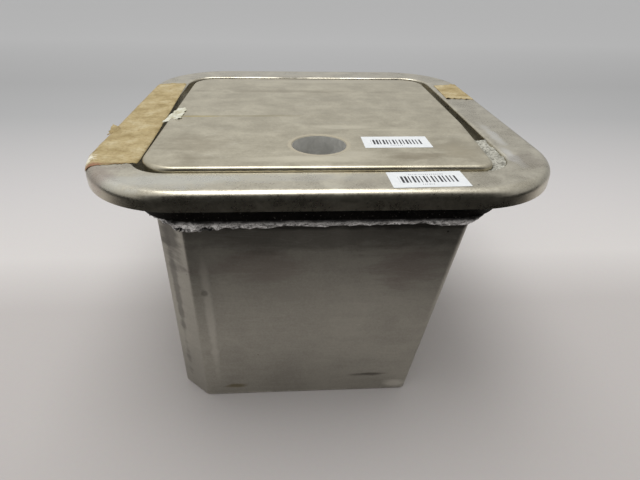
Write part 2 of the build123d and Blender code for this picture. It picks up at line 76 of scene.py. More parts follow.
def add(tree, kind, settings=None, links=None, give=None):
    """Add a shader node, set its properties, inputs or colour stops, link it, and give one output."""
    node = tree.nodes.new("ShaderNode" + kind)
    inputs = {}
    for key, value in (settings or {}).items():
        if key == "stops":
            elements = node.color_ramp.elements
            while len(elements) < len(value):
                elements.new(0.5)
            for element, (place, colour) in zip(elements, value):
                element.position = place
                element.color = (colour, colour, colour, 1.0) if isinstance(colour, float) else colour
        elif isinstance(key, str) and hasattr(node, key):
            setattr(node, key, value)
        else:
            inputs[key] = value
    inputs.update(links or {})
    for key, value in inputs.items():
        socket = node.inputs[key] if isinstance(key, int) else next(
            s for s in node.inputs if s.enabled and s.name == key)
        if isinstance(value, bpy.types.NodeSocket):
            tree.links.new(value, socket)
        else:
            socket.default_value = value
    shown = [s for s in node.outputs if s.enabled]
    if not shown:
        return node
    return next(s for s in shown if s.name == give) if give else shown[0]


def new_tree(owner):
    """An empty node tree for a material or a world."""
    owner.use_nodes = True
    owner.node_tree.nodes.clear()
    return owner.node_tree


def finished(name, draw):
    """A material whose surface shader is made by draw(tree)."""
    material = bpy.data.materials.new(name)
    tree = new_tree(material)
    add(tree, "OutputMaterial", {}, {"Surface": draw(tree)})
    return material


def new_piece(name, mesh, material, smooth=True):
    """An object for a mesh, with one material."""
    mesh.polygons.foreach_set("use_smooth", [smooth] * len(mesh.polygons))
    mesh.materials.clear()
    mesh.materials.append(material)
    piece = bpy.data.objects.new(name, mesh)
    bpy.context.scene.collection.objects.link(piece)
    return piece


def studio_paper(tree):
    """Matt paper with painted shade: darker in front of and around the box, lighter just behind it.
    Mirrored rays see a further painted shadow in front, as of a person standing there.
    """
    where = add(tree, "NewGeometry", give="Position")
    x, y = [add(tree, "SeparateXYZ", {}, {0: where}, axis) for axis in "XY"]
    aside = add(tree, "Math", {"operation": "ABSOLUTE"}, {0: x})
    nearer = add(tree, "Math", {"operation": "MULTIPLY_ADD", 1: -0.28}, {0: aside, 2: y})
    # Painted shadow: mirrored rays see the floor darker towards the front, and more so off to the sides.
    shadow = add(tree, "MapRange", {"From Min": -0.26, "From Max": -0.45, "To Min": 1.05, "To Max": 0.02},
                 {"Value": nearer})
    mirrored = add(tree, "LightPath", give="Is Glossy Ray")
    fade = add(tree, "Mix", {"data_type": "FLOAT", "A": 1.0}, {"Factor": mirrored, "B": shadow})
    # Painted shade and light: the tone is darker in front of and around the box, brightest just behind it,
    # grey further back and paler far away.
    depth = add(tree, "MapRange", {"From Min": -0.3, "From Max": 2.2}, {"Value": y})
    paper_tone_and_painted_shade = [(0.0, srgb("C0BBB8")), (0.05, srgb("C5C0BD")), (0.115, srgb("C7C2BF")), (0.16, srgb("DEDAD7")),
             (0.25, srgb("D5D2D1")), (0.42, srgb("C1C1C1")), (0.56, srgb("BFBFBF")), (0.90, srgb("D4D4D4"))]
    tone = add(tree, "ValToRGB", {"stops": paper_tone_and_painted_shade}, {"Fac": depth})
    fibre = add(tree, "TexNoise", {"Scale": 260.0, "Detail": 3.0}, {"Vector": where}, "Color")
    flecked = add(tree, "Mix", {"data_type": "RGBA", "blend_type": "MULTIPLY", "Factor": 0.05},
                  {"A": tone, "B": fibre})
    shade = add(tree, "VectorMath", {"operation": "SCALE"}, {0: flecked, "Scale": fade})
    return add(tree, "BsdfPrincipled", {"Roughness": 0.9, "Specular IOR Level": 0.1}, {"Base Color": shade})


reach = 14.0
mesh = bpy.data.meshes.new("studio_floor")
corners = [(-reach, -reach, 0), (reach, -reach, 0), (reach, reach, 0), (-reach, reach, 0)]
mesh.from_pydata(corners, [], [(0, 1, 2, 3)])
new_piece("studio_floor", mesh, finished("matt_studio_paper", studio_paper))

room = bpy.data.worlds.new("plain_room")
bpy.context.scene.world = room
tree = new_tree(room)
look = add(tree, "TexCoord", give="Generated")
aside, upward = [add(tree, "SeparateXYZ", {}, {0: look}, axis) for axis in "XZ"]
up = add(tree, "MapRange", {"From Min": -1.0}, {"Value": upward})
heights = [(0.0, 0.40), (0.50, 0.56), (0.66, 0.76), (0.80, 0.95), (1.0, 1.0)]
ceiling = add(tree, "ValToRGB", {"stops": heights}, {"Fac": up})
their_side = (0.03, -0.96, 0.28)
toward_person = add(tree, "VectorMath", {"operation": "DOT_PRODUCT", 1: their_side}, {0: look}, "Value")
person = add(tree, "MapRange", {"From Min": 0.54, "From Max": 0.70, "To Min": 1.0, "To Max": 0.02},
             {"Value": toward_person})
# Painted reflection shade: only mirrored rays see the dark patch towards the person, so it darkens what the
# metal mirrors and not the light on the box.
mirrored = add(tree, "LightPath", give="Is Glossy Ray")
person = add(tree, "Mix", {"data_type": "FLOAT", "A": 1.0}, {"Factor": mirrored, "B": person})
dimmer = add(tree, "MapRange", {"To Min": 1.0, "To Max": 0.72}, {"Value": aside})
both = add(tree, "Math", {"operation": "MULTIPLY"}, {0: person, 1: dimmer})
level = add(tree, "VectorMath", {"operation": "SCALE"}, {0: ceiling, "Scale": both})
add(tree, "OutputWorld", {}, {"Surface": add(tree, "Background", {"Strength": 0.80}, {"Color": level})})

lamp = bpy.data.lights.new("overhead_softbox", "AREA")
lamp.shape = "SQUARE"
lamp.size = 0.8
lamp.energy = 7.6
softbox = bpy.data.objects.new("overhead_softbox", lamp)
softbox.location = (-0.06, -0.02, 1.4)
aim = Vector((0, 0, 0.1)) - softbox.location
softbox.rotation_euler = aim.to_track_quat("-Z", "Y").to_euler()
bpy.context.scene.collection.objects.link(softbox)

# ---- Body: bent sheet, back wall and bottom plate ----
# 3 mm aluminium sheet as it came from the mill, bent round the front and both sides, with a flat plate
# let in behind and a plate below. It is satin, faintly clouded, with rubbed streaks and small dark pits.
# Some of its marks are painted shade: a band along the top under the flange, a black line under the
# weld's foot, and the top of the left facet.

MM = 0.001


def marked(tree, colour, where, break_up, marks):
    """Lay ragged ovals over a colour: each has a place and radii in mm, a tint and a strength."""
    for place, radii, tint, strength in marks:
        middle = [along * MM for along in place]
        size = [radius * MM for radius in radii]
        shifted = add(tree, "VectorMath", {"operation": "SUBTRACT", 1: middle}, {0: where})
        scaled = add(tree, "VectorMath", {"operation": "DIVIDE", 1: size}, {0: shifted})
        reached = add(tree, "VectorMath", {"operation": "LENGTH"}, {0: scaled}, "Value")
        ragged = add(tree, "Math", {"operation": "MULTIPLY_ADD", 1: 3.0}, {0: break_up, 2: reached})
        mask = add(tree, "MapRange", {"From Min": 2.55, "From Max": 1.95, "To Max": strength},
                   {"Value": ragged})
        colour = add(tree, "Mix", {"data_type": "RGBA", "B": srgb(tint)}, {"Factor": mask, "A": colour})
    return colour


def aluminium(name, light, dark, roughness, grain, cloud, scratches, pits=0.0, marks=(), soot_and_shade_about=None):
    """Bare aluminium: two tones, roughness, grain along X, Y, Z and cloud size in mm, then local marks.

    Faces that look away from the given middle, and undersides, are black with welding soot and painted
    shade, so that the strip under the flange looks burnt and shaded from outside and clean from inside.
    """

    def draw(tree):
        where = add(tree, "TexCoord", give="Object")
        rolled = add(tree, "Mapping", {"Scale": [1 / (size * MM) for size in grain]}, {"Vector": where})
        streak = add(tree, "TexNoise", {"Scale": 1.0, "Detail": 4.0, "Roughness": 0.6}, {"Vector": rolled})
        cloudy = {"Scale": 1 / (cloud * MM), "Detail": 7.0, "Roughness": 0.6, "Distortion": 0.4}
        haze = add(tree, "TexNoise", cloudy, {"Vector": where})
        speckle = add(tree, "TexNoise", {"Scale": 1 / (1.6 * MM), "Detail": 2.0}, {"Vector": where})
        tone = add(tree, "Mix", {"data_type": "FLOAT", "Factor": 0.30}, {"A": haze, "B": streak})
        tone = add(tree, "Mix", {"data_type": "FLOAT", "Factor": 0.25}, {"A": tone, "B": speckle})
        colour = add(tree, "ValToRGB", {"stops": [(0.40, srgb(dark)), (0.60, srgb(light))]}, {"Fac": tone})
        ragged = add(tree, "Mix", {"data_type": "FLOAT"}, {"A": haze, "B": streak})
        colour = marked(tree, colour, where, ragged, marks)
        # Hairline scratches follow thin contour lines of long slanted noises.
        scored = 0.0
        for turn, length in ((0.35, 140.0), (-0.5, 90.0), (1.35, 120.0)):
            stretch = [1 / (length * MM)] + 2 * [1 / (9 * MM)]
            slant = add(tree, "Mapping", {"Rotation": (0, 0, turn), "Scale": stretch}, {"Vector": where})
            field = add(tree, "TexNoise", {"Scale": 1.0, "Detail": 1.0}, {"Vector": slant})
            contour = [(0.494, 0.0), (0.4975, scratches), (0.501, 0.0)]
            line = add(tree, "ValToRGB", {"stops": contour}, {"Fac": field})
            broken = add(tree, "Math", {"operation": "MULTIPLY"}, {0: line, 1: haze})
            scored = add(tree, "Math", {"operation": "MAXIMUM"}, {0: broken, 1: scored})
        colour = add(tree, "Mix", {"data_type": "RGBA", "B": srgb("DAD7CC")},
                     {"Factor": scored, "A": colour})
        # Pits sit at the middles of some Voronoi cells, 26 mm apart and under 1 mm wide.
        cells = 1 / (26 * MM)
        centre = add(tree, "TexVoronoi", {"Scale": cells}, {"Vector": where}, "Distance")
        some = add(tree, "TexVoronoi", {"Scale": cells}, {"Vector": where}, "Color")
        chosen = add(tree, "SeparateColor", {}, {0: some})
        pit = add(tree, "MapRange", {"From Min": 0.045, "From Max": 0.018, "To Max": pits},
                  {"Value": centre})
        pit = add(tree, "Math", {"operation": "MULTIPLY"}, {0: pit, 1: chosen})
        colour = add(tree, "Mix", {"data_type": "RGBA", "B": srgb("2A2825")}, {"Factor": pit, "A": colour})
        rough = add(tree, "MapRange", {"From Min": 0.3, "From Max": 0.7, "To Min": roughness - 0.06,
                                       "To Max": roughness + 0.09}, {"Value": tone})
        # Soot and painted shade: faces looking outward, and undersides, go black.
        if soot_and_shade_about:
            normal = add(tree, "NewGeometry", give="Normal")
            away = add(tree, "VectorMath", {"operation": "SUBTRACT", 1: soot_and_shade_about * MM}, {0: where})
            away = add(tree, "VectorMath", {"operation": "NORMALIZE"}, {0: away})
            facing = add(tree, "VectorMath", {"operation": "DOT_PRODUCT"}, {0: away, 1: normal}, "Value")
            outside = add(tree, "MapRange", {"From Min": 0.15, "From Max": 0.40}, {"Value": facing})
            upward = add(tree, "SeparateXYZ", {}, {0: normal}, "Z")
            under = add(tree, "MapRange", {"From Min": -0.2, "From Max": -0.7}, {"Value": upward})
            soot_and_shade_mask = add(tree, "Math", {"operation": "MAXIMUM"}, {0: outside, 1: under})
            blacks = [(0.40, srgb("141313")), (0.62, srgb("34322F"))]
            soot_and_painted_shade = add(tree, "ValToRGB", {"stops": blacks}, {"Fac": tone})
            spatter = add(tree, "ValToRGB", {"stops": [(0.66, 0.0), (0.74, 0.7)]}, {"Fac": speckle})
            soot_and_painted_shade = add(tree, "Mix", {"data_type": "RGBA", "B": srgb("8E8C88")},
                        {"Factor": spatter, "A": soot_and_painted_shade})
            colour = add(tree, "Mix", {"data_type": "RGBA"}, {"Factor": soot_and_shade_mask, "A": colour, "B": soot_and_painted_shade})
            rough = add(tree, "Math", {"operation": "MULTIPLY_ADD", 1: 0.25}, {0: soot_and_shade_mask, 2: rough})
        height = add(tree, "Math", {"operation": "MULTIPLY_ADD", 1: -1.5}, {0: scored, 2: tone})
        relief = add(tree, "Bump", {"Strength": 0.20, "Distance": 0.06 * MM}, {"Height": height})
        surface = {"Base Color": colour, "Roughness": rough, "Normal": relief}
        return add(tree, "BsdfPrincipled", {"Metallic": 1.0}, surface)

    return finished(name, draw)


def coat(material, *nodes):
    """Give CAD nodes one finish."""
    for node in nodes:
        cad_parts[node].data.materials.clear()
        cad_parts[node].data.materials.append(material)


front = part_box("body_wrap")[0].y / MM
sheet_stains_and_painted_shade = (
    ((-80, front, 12), (10, 8, 3), "6B6038", 0.65),
    ((70, front, 148), (36, 8, 26), "837470", 0.40),
    ((-58, front, 152), (42, 8, 16), "8A7C76", 0.30),
    ((-96, front, 100), (4, 8, 80), "CFCCC2", 0.45),
    ((46, front, 22), (26, 8, 2.5), "3F3C36", 0.65),
    ((74, front + 2, 8), (13, 10, 6), "DAD7CD", 0.70),
    ((-124, front + 14, 110), (4, 8, 95), "4E4B46", 0.55),
    ((-98, front, 125), (3, 8, 4), "55524C", 0.50),
    # Painted shadow: a black line under the foot of the weld bead.
    ((20, front, 188), (150, 9, 4.5), "1C1B1A", 0.85),
    # Painted shade: the top of the left facet darkened.
    ((-122, front + 12, 178), (16, 14, 34), "55524C", 0.75),
    # Painted shade: a darker band across the top, under the flange.
    ((10, front, 180), (190, 9, 17), "6A6761", 0.50),
)
sheet = aluminium("mill_satin_aluminium_sheet", "AFACA2", "9C9990", 0.33, grain=(46, 46, 9), cloud=60.0,
                  scratches=0.35, pits=0.9, marks=sheet_stains_and_painted_shade)
inner_sheet = aluminium("mill_satin_aluminium_plate", "B4B1A7", "96938A", 0.38, grain=(60, 3, 60),
                        cloud=60.0, scratches=0.4, pits=0.6)
coat(sheet, "body_wrap", "back_wall")
coat(inner_sheet, "bottom_plate", "mounting_plate", "plate_posts", "cover_seat")

# ---- Well: collar strip and floor ring ----
# 4 mm aluminium strip bent into a ring under the flange, and a flat ring that joins it to the body.
# Inside they are clean; outside and underneath they are black with welding soot and painted shade, and
# speckled with spatter.

well_low, well_high = [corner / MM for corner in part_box("well_collar")]
well_middle = (well_low + well_high) / 2
soot_and_shade_sheet = aluminium("aluminium_strip_soot_and_painted_shade", "ABA79C", "918D84", 0.36, grain=(46, 46, 9),
                         cloud=40.0, scratches=0.3, pits=0.6, soot_and_shade_about=well_middle)
coat(soot_and_shade_sheet, "well_collar", "well_floor")

# ---- Weld beads ----
# Hand-laid aluminium welds. Each is grown from its plain solid as a skin of lumps and ripples, heaviest
# round the top of the body, where the bead is rough, pitted and black above with soot and painted shade.
# Its craters and the hollows of its grit are painted dark as shade.


def weld_metal(name, soot_and_shade_from, soot_and_shade_to, marks=()):
    """As-welded aluminium, grey and rough, with painted shade in its hollows, blackening with height
    between two levels in mm with soot and painted shade.
    """

    def draw(tree):
        where = add(tree, "TexCoord", give="Object")
        lumps = add(tree, "TexNoise", {"Scale": 1 / (5 * MM), "Detail": 5.0, "Roughness": 0.7},
                    {"Vector": where})
        grit = add(tree, "TexNoise", {"Scale": 1 / (1.3 * MM), "Detail": 2.0, "Roughness": 0.7},
                   {"Vector": where})
        greys = [(0.38, srgb("636261")), (0.48, srgb("B4B3B2")), (0.58, srgb("F2F1F0"))]
        colour = add(tree, "ValToRGB", {"stops": greys}, {"Fac": lumps})
        # Painted shade: the hollows of the grit's bump are darkened almost to black.
        dark = add(tree, "ValToRGB", {"stops": [(0.36, 1.0), (0.44, 0.0)]}, {"Fac": grit})
        colour = add(tree, "Mix", {"data_type": "RGBA", "B": srgb("232222")}, {"Factor": dark, "A": colour})
        # The edge of the soot and painted shade wanders by 9 mm, half of it each way.
        wander = 9.0
        height = add(tree, "SeparateXYZ", {}, {0: where}, "Z")
        uneven = add(tree, "Math", {"operation": "MULTIPLY_ADD", 1: wander * MM}, {0: lumps, 2: height})
        start, end = [(level + wander / 2) * MM for level in (soot_and_shade_from, soot_and_shade_to)]
        soot_and_painted_shade = add(tree, "MapRange", {"From Min": start, "From Max": end, "To Max": 0.96},
                    {"Value": uneven})
        colour = add(tree, "Mix", {"data_type": "RGBA", "B": srgb("141313")}, {"Factor": soot_and_painted_shade, "A": colour})
        colour = marked(tree, colour, where, lumps, marks)
        relief = add(tree, "Bump", {"Strength": 0.7, "Distance": 0.45 * MM}, {"Height": grit})
        return add(tree, "BsdfPrincipled", {"Metallic": 0.35, "Roughness": 0.40},
                   {"Base Color": colour, "Normal": relief})

    return finished(name, draw)


def grown_bead(node, body, material, voxel, lump, ripple, pitch, shape=None):
    """Stand a lumpy bead in for a weld node: grain size, lump height, ripple height and pitch in mm.

    A shape function may bend the move of each point further.
    """
    solid = bpy.data.objects.new("solid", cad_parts[node].data.copy())
    bpy.context.scene.collection.objects.link(solid)
    grid = solid.modifiers.new("grid", "REMESH")
    grid.mode = "VOXEL"
    grid.voxel_size = voxel * MM
    even = bpy.data.meshes.new_from_object(solid.evaluated_get(bpy.context.evaluated_depsgraph_get()))
    bpy.data.objects.remove(solid)
    for vertex in even.vertices:
        at = vertex.co / MM
        out = vertex.normal
        along = at.x if abs(out.y) > abs(out.x) else at.y
        rise = lump * (noise.noise(at / 8) + 0.55 * noise.noise(at / 3) + 0.25 * noise.noise(at / 1.3))
        rise += ripple * abs(math.sin(math.pi * (along + 0.35 * at.z) / pitch))
        move = out * rise
        if shape:
            move = shape(at, out, move)
        vertex.co += move * MM
    piece = new_piece(node + "_bead", even, material)
    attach(piece, body)
    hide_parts(node)
    return piece


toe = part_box("collar_weld")[0].z / MM
craters = [Vector((-110, front - 2, toe + 1)), Vector((-88, front - 3, toe + 1.5))]
crater_radius = 5.5
crater_depth = 5.0


def slumped(at, out, move):
    """The heavy bead's foot rises and sags in waves; the left is lower and lumpier, with two craters."""
    left = min(max((-55 - at.x) / 30, 0.0), 1.0)
    move = move * (1.0 + 0.9 * left)
    low = min(max((toe + 7 - at.z) / 5, 0.0), 1.0)
    right = min(max((at.x + 105) / 40, 0.0), 1.0)
    waves = 2.2 * noise.noise(Vector((at.x, at.y, 0)) / 26) + 0.8 * noise.noise(Vector((at.x, at.y, 9)) / 7)
    move.z += low * (0.6 + waves + 3.0 * right)
    for crater in craters:
        move -= out * crater_depth * max(0.0, 1.0 - (at - crater).length / crater_radius)
    return move


# Soot and painted shade start below the floor on the bead under the flange, which is black all over, and
# far above the box on the clean ones.
soot_and_shade_bead = weld_metal("as_welded_aluminium_black", 0.0, 1.0)
# Painted shade: the craters are painted black, with a black spot of soot and painted shade higher up on the
# left.
crater_shade = [(crater + Vector((0, 0, 1)), (6, 8, 4), "080808", 0.97) for crater in craters]
upper_soot_and_shade = ((-118, front, toe + 11), (14, 9, 5), "0A0A0A", 0.9)
heavy_bead = weld_metal("as_welded_aluminium_soot_and_shade", toe + 8.5, toe + 12.0, [*crater_shade, upper_soot_and_shade])
clean_bead = weld_metal("as_welded_aluminium", 900.0, 901.0)
grown_bead("collar_weld", "box", heavy_bead, voxel=1.1, lump=1.15, ripple=0.4, pitch=4.5, shape=slumped)
grown_bead("flange_weld", "box", soot_and_shade_bead, voxel=1.3, lump=0.45, ripple=0.35, pitch=3.5)
grown_bead("hub_welds", "box", clean_bead, voxel=1.0, lump=0.35, ripple=0.35, pitch=3.0)
grown_bead("back_seam_welds", "box", clean_bead, voxel=1.1, lump=0.3, ripple=0.45, pitch=3.2)
grown_bead("sleeve_weld", "cover", clean_bead, voxel=0.9, lump=0.3, ripple=0.3, pitch=2.8)
ground = aluminium("ground_aluminium_weld", "C2BFB6", "9D9990", 0.34, grain=(9, 9, 1.2), cloud=18.0,
                   scratches=0.6, pits=0.4)
coat(ground, "bottom_weld")

# ---- Flange and seal ----
# A ring cut from 13.5 mm aluminium plate, its upper edges rounded by hand, bare and handled for years:
# dull beige-grey with paler rubbed patches, and painted highlights along the inner edges of its opening.
# A flat black rubber seal lies under the cover.

top = flange_high.z / MM
flange_wear_and_painted_light = (
    ((-112, -161, top), (60, 13, 9), "E2E2DA", 0.60),
    ((-20, -157, top), (80, 9, 9), "D8D7CE", 0.50),
    # Painted highlights: pale strips along the inner edge of the right border.
    ((150, -72, top), (5, 34, 9), "E9E7E0", 0.75),
    ((146, -116, top), (6, 22, 9), "ECEAE4", 0.80),
    ((156, -125, top), (14, 20, 9), "A2988A", 0.45),
    ((-158, -150, top), (18, 16, 14), "A9978E", 0.50),
    ((-40, 160, top), (90, 9, 9), "CFCBBE", 0.45),
    ((60, -163, top), (90, 12, 9), "AFA898", 0.35),
    # Painted highlights along the back edge of the opening, with a painted shade line between them.
    ((-66, 143.5, top), (26, 3, 9), "F4F2EA", 0.85),
    ((-20, 142, top), (22, 1.6, 9), "3C3932", 0.80),
    ((62, 143, top), (34, 3, 9), "E9E6DB", 0.75),
)
flange_metal = aluminium("mill_finish_aluminium_flange", "D8D2C0", "B5AE9C", 0.28, grain=(22, 9, 9),
                         cloud=20.0, scratches=0.8, pits=0.9, marks=flange_wear_and_painted_light)
coat(flange_metal, "flange_frame")


def moulded_rubber(tree):
    """Black rubber strip: matt, faintly grey with dust."""
    where = add(tree, "TexCoord", give="Object")
    dust = add(tree, "TexNoise", {"Scale": 1 / (12 * MM), "Detail": 5.0}, {"Vector": where})
    blacks = [(0.35, srgb("1C1B1A")), (0.70, srgb("35332F"))]
    colour = add(tree, "ValToRGB", {"stops": blacks}, {"Fac": dust})
    relief = add(tree, "Bump", {"Strength": 0.2, "Distance": 0.2 * MM}, {"Height": dust})
    surface = {"Base Color": colour, "Normal": relief}
    return add(tree, "BsdfPrincipled", {"Roughness": 0.72, "IOR": 1.52}, surface)


coat(finished("black_moulded_rubber", moulded_rubber), "cover_gasket")

# ---- Cover and its sleeve ----
# A loose plate of the same aluminium, 13 mm thick and rolled along X, warmer and more stained than the
# flange. A turned aluminium sleeve is pressed and welded in near its front edge, cut flush on top.

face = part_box("cover_plate")[1].z / MM
cover_marks = (
    ((22, -58, face), (30, 6, 6), "E3DCC6", 0.65),
    ((66, -66, face), (34, 4, 6), "DDD6BF", 0.60),
    ((70, -126, face), (24, 9, 6), "93876F", 0.50),
    ((-12, -131, face), (50, 7, 6), "E6DFC9", 0.70),
    ((24, -122, face), (18, 9, 6), "E0D9C4", 0.60),
    ((104, -116, face), (15, 17, 6), "CBC2A8", 0.55),
    ((104, -116, face), (19, 22, 6), "9C917B", 0.35),
    ((-104, -27.4, face), (20, 1.8, 6), "C9B45F", 0.80),
    ((-60, -26, face), (60, 3, 6), "A79C74", 0.45),
    ((-20, 62, face), (110, 7, 6), "A0967F", 0.45),
    ((-98, -104, face), (28, 30, 6), "9F947D", 0.40),
    ((20, 108, face), (110, 8, 6), "DFD8C4", 0.45),
)
cover_metal = aluminium("mill_finish_aluminium_cover", "D0C9B4", "B9B19B", 0.36, grain=(30, 9, 9),
                        cloud=22.0, scratches=0.8, pits=1.3, marks=cover_marks)
coat(cover_metal, "cover_plate")


def turned_aluminium(tree):
    """Turned aluminium, dull and hazy, tanned on top: tool rings 0.8 mm apart, coarse so that they show."""
    where = add(tree, "TexCoord", give="Object")
    height = add(tree, "SeparateXYZ", {}, {0: where}, "Z")
    phase = add(tree, "Math", {"operation": "MULTIPLY", 1: 2 * math.pi / (0.8 * MM)}, {0: height})
    rings = add(tree, "Math", {"operation": "SINE"}, {0: phase})
    smear = add(tree, "TexNoise", {"Scale": 1 / (7 * MM), "Detail": 5.0, "Distortion": 0.8},
                {"Vector": where})
    greys = [(0.30, srgb("D3D2CC")), (0.70, srgb("EEEDE8"))]
    colour = add(tree, "ValToRGB", {"stops": greys}, {"Fac": smear})
    facing_up = add(tree, "SeparateXYZ", {}, {0: add(tree, "NewGeometry", give="Normal")}, "Z")
    end_face = add(tree, "Math", {"operation": "GREATER_THAN", 1: 0.7}, {0: facing_up})
    colour = add(tree, "Mix", {"data_type": "RGBA", "B": srgb("B5AD98")}, {"Factor": end_face, "A": colour})
    relief = add(tree, "Bump", {"Strength": 0.35, "Distance": 0.08 * MM}, {"Height": rings})
    surface = {"Base Color": colour, "Normal": relief}
    return add(tree, "BsdfPrincipled", {"Metallic": 0.5, "Roughness": 0.55}, surface)


turned = finished("turned_aluminium", turned_aluminium)
coat(turned, "cover_sleeve", "conduit_hubs")

# ---- Fasteners, earth stud and plug ----
# Steel nuts, washers, screws, terminal rail and blanking plug, turned or pressed and then zinc plated.
# The plating is going dull, so that they look a cold, patchy grey.


def zinc_plate(tree):
    """Bright zinc plating gone patchy: cold grey with darker blooms."""
    where = add(tree, "TexCoord", give="Object")
    bloom = add(tree, "TexNoise", {"Scale": 1 / (5 * MM), "Detail": 5.0}, {"Vector": where})
    greys = [(0.32, srgb("93958F")), (0.66, srgb("C6C8C4"))]
    colour = add(tree, "ValToRGB", {"stops": greys}, {"Fac": bloom})
    rough = add(tree, "MapRange", {"To Min": 0.24, "To Max": 0.46}, {"Value": bloom})
    return add(tree, "BsdfPrincipled", {"Metallic": 1.0}, {"Base Color": colour, "Roughness": rough})


coat(finished("zinc_plated_steel", zinc_plate), "plate_washers", "plate_nuts", "rail_screws",
     "terminal_screws", "earth_bar_screws", "earth_stud", "earth_washers", "earth_nuts", "entry_plug",
     "terminal_rail")

# ---- Terminals and earth bar ----
# Grey polyamide terminals and end clamps, moulded and clipped on the rail, and an earth bar of drawn
# brass, satin yellow, on two brass posts.


def moulded_polyamide(tree):
    """Moulded polyamide: matt light grey with a fine spark-eroded grain."""
    where = add(tree, "TexCoord", give="Object")
    grain = add(tree, "TexNoise", {"Scale": 1 / (0.7 * MM), "Detail": 3.0}, {"Vector": where})
    shade = add(tree, "TexNoise", {"Scale": 1 / (18 * MM), "Detail": 3.0}, {"Vector": where})
    colour = add(tree, "ValToRGB", {"stops": [(0.3, srgb("8B9090")), (0.7, srgb("9EA3A2"))]}, {"Fac": shade})
    relief = add(tree, "Bump", {"Strength": 0.25, "Distance": 0.1 * MM}, {"Height": grain})
    surface = {"Base Color": colour, "Normal": relief}
    return add(tree, "BsdfPrincipled", {"Roughness": 0.55, "IOR": 1.53}, surface)


def drawn_brass(tree):
    """Drawn brass: satin yellow with drawing lines along X and brown tarnish."""
    where = add(tree, "TexCoord", give="Object")
    stretch = (1 / (40 * MM), 1 / (0.8 * MM), 1 / (0.8 * MM))
    drawn = add(tree, "Mapping", {"Scale": stretch}, {"Vector": where})
    lines = add(tree, "TexNoise", {"Scale": 1.0, "Detail": 3.0}, {"Vector": drawn})
    tarnish = add(tree, "TexNoise", {"Scale": 1 / (9 * MM), "Detail": 5.0}, {"Vector": where})
    tone = add(tree, "Mix", {"data_type": "FLOAT", "Factor": 0.5}, {"A": tarnish, "B": lines})
    yellows = [(0.35, srgb("A38148")), (0.62, srgb("D9BC74"))]
    colour = add(tree, "ValToRGB", {"stops": yellows}, {"Fac": tone})
    relief = add(tree, "Bump", {"Strength": 0.2, "Distance": 0.05 * MM}, {"Height": lines})
    surface = {"Base Color": colour, "Normal": relief}
    return add(tree, "BsdfPrincipled", {"Metallic": 1.0, "Roughness": 0.34}, surface)


coat(finished("moulded_grey_polyamide", moulded_polyamide), "terminal_blocks", "end_clamps")
coat(finished("drawn_brass", drawn_brass), "earth_bar", "earth_bar_posts")

# ---- Labels ----
# Two white coated-paper stock labels, stuck on a little askew. Their print is a plain row of bars and
# short grey dashes that stand for writing and say nothing.


def printed_paper(name, node, tilt, dash_rows):
    """White coated paper with bars, and rows of dashes given as (start, end, height up) in mm."""
    low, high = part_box(node)
    middle = (low + high) / 2 / MM

    def draw(tree):
        where = add(tree, "TexCoord", give="Object")
        # The label's own millimetres, x along its length and y up its height.
        shifted = add(tree, "VectorMath", {"operation": "SUBTRACT", 1: middle * MM}, {0: where})
        straight = (0, 0, -math.radians(tilt))
        own = add(tree, "Mapping", {"Rotation": straight, "Scale": 3 * [1 / MM]}, {"Vector": shifted})
        x, y = [add(tree, "SeparateXYZ", {}, {0: own}, axis) for axis in "XY"]

        def within(value, start, end):
            """1 between two places, else 0."""
            middle, half = (start + end) / 2, (end - start) / 2
            return add(tree, "Math", {"operation": "COMPARE", 1: middle, 2: half}, {0: value})

        def striped(pitch, seed):
            """Upright bars across X, one to each pitch, each thick or thin by chance."""
            counted = add(tree, "Math", {"operation": "MULTIPLY_ADD", 1: 1 / pitch, 2: seed}, {0: x})
            whole = add(tree, "Math", {"operation": "FLOOR"}, {0: counted})
            chance = add(tree, "TexWhiteNoise", {"noise_dimensions": "1D"}, {"W": whole})
            share = add(tree, "MapRange", {"To Min": 0.30, "To Max": 0.64}, {"Value": chance})
            part = add(tree, "Math", {"operation": "SUBTRACT"}, {0: counted, 1: whole})
            return add(tree, "Math", {"operation": "LESS_THAN"}, {0: part, 1: share})

        def times(*masks):
            """All masks at once."""
            product = masks[0]
            for mask in masks[1:]:
                product = add(tree, "Math", {"operation": "MULTIPLY"}, {0: product, 1: mask})
            return product

        fade = add(tree, "TexNoise", {"Scale": 1 / (3 * MM), "Detail": 2.0}, {"Vector": where})
        ink = times(striped(2.7, 300.0), within(x, -20.5, 21.5), within(y, -5.2, 5.2))
        whites = [(0.3, srgb("DADDDF")), (0.7, srgb("E4E6E6"))]
        paper = add(tree, "ValToRGB", {"stops": whites}, {"Fac": fade})
        colour = add(tree, "Mix", {"data_type": "RGBA", "B": srgb("2C2B30")}, {"Factor": ink, "A": paper})
        for index, (start, end, level) in enumerate(dash_rows):
            dash_height = 1.3
            row = within(y, level, level + dash_height)
            dashes = times(striped(1.5, 70.0 + index), within(x, start, end), row)
            colour = add(tree, "Mix", {"data_type": "RGBA", "B": srgb("8C8D93")},
                         {"Factor": dashes, "A": colour})
        return add(tree, "BsdfPrincipled", {"Roughness": 0.48, "IOR": 1.5}, {"Base Color": colour})

    coat(finished(name, draw), node)


printed_paper("coated_paper_flange_label", "flange_label", 2.0, ((-13, 13, 7.2), (-7, 3, -8.8)))
printed_paper("coated_paper_cover_label", "cover_label", 0.8, ((-6, 4, -8.4),))

# ---- Masking tape ----
# Two torn lengths of aged crepe-paper masking tape, stuck down over the flange and both of its rounded
# edges, yellow-brown, creped across their length, lifting and dirty at the torn ends.

torn_end_marks = (
    ((-175, -122, top - 3), (7, 12, 9), "F0EDDC", 0.90),
    ((-166, -134, top), (10, 5, 8), "8E5A44", 0.80),
    ((-150, -131.5, top), (16, 1.6, 6), "7A5E3C", 0.70),
    ((-177, -75, top - 4), (4, 50, 5), "9A7B4A", 0.55),
)


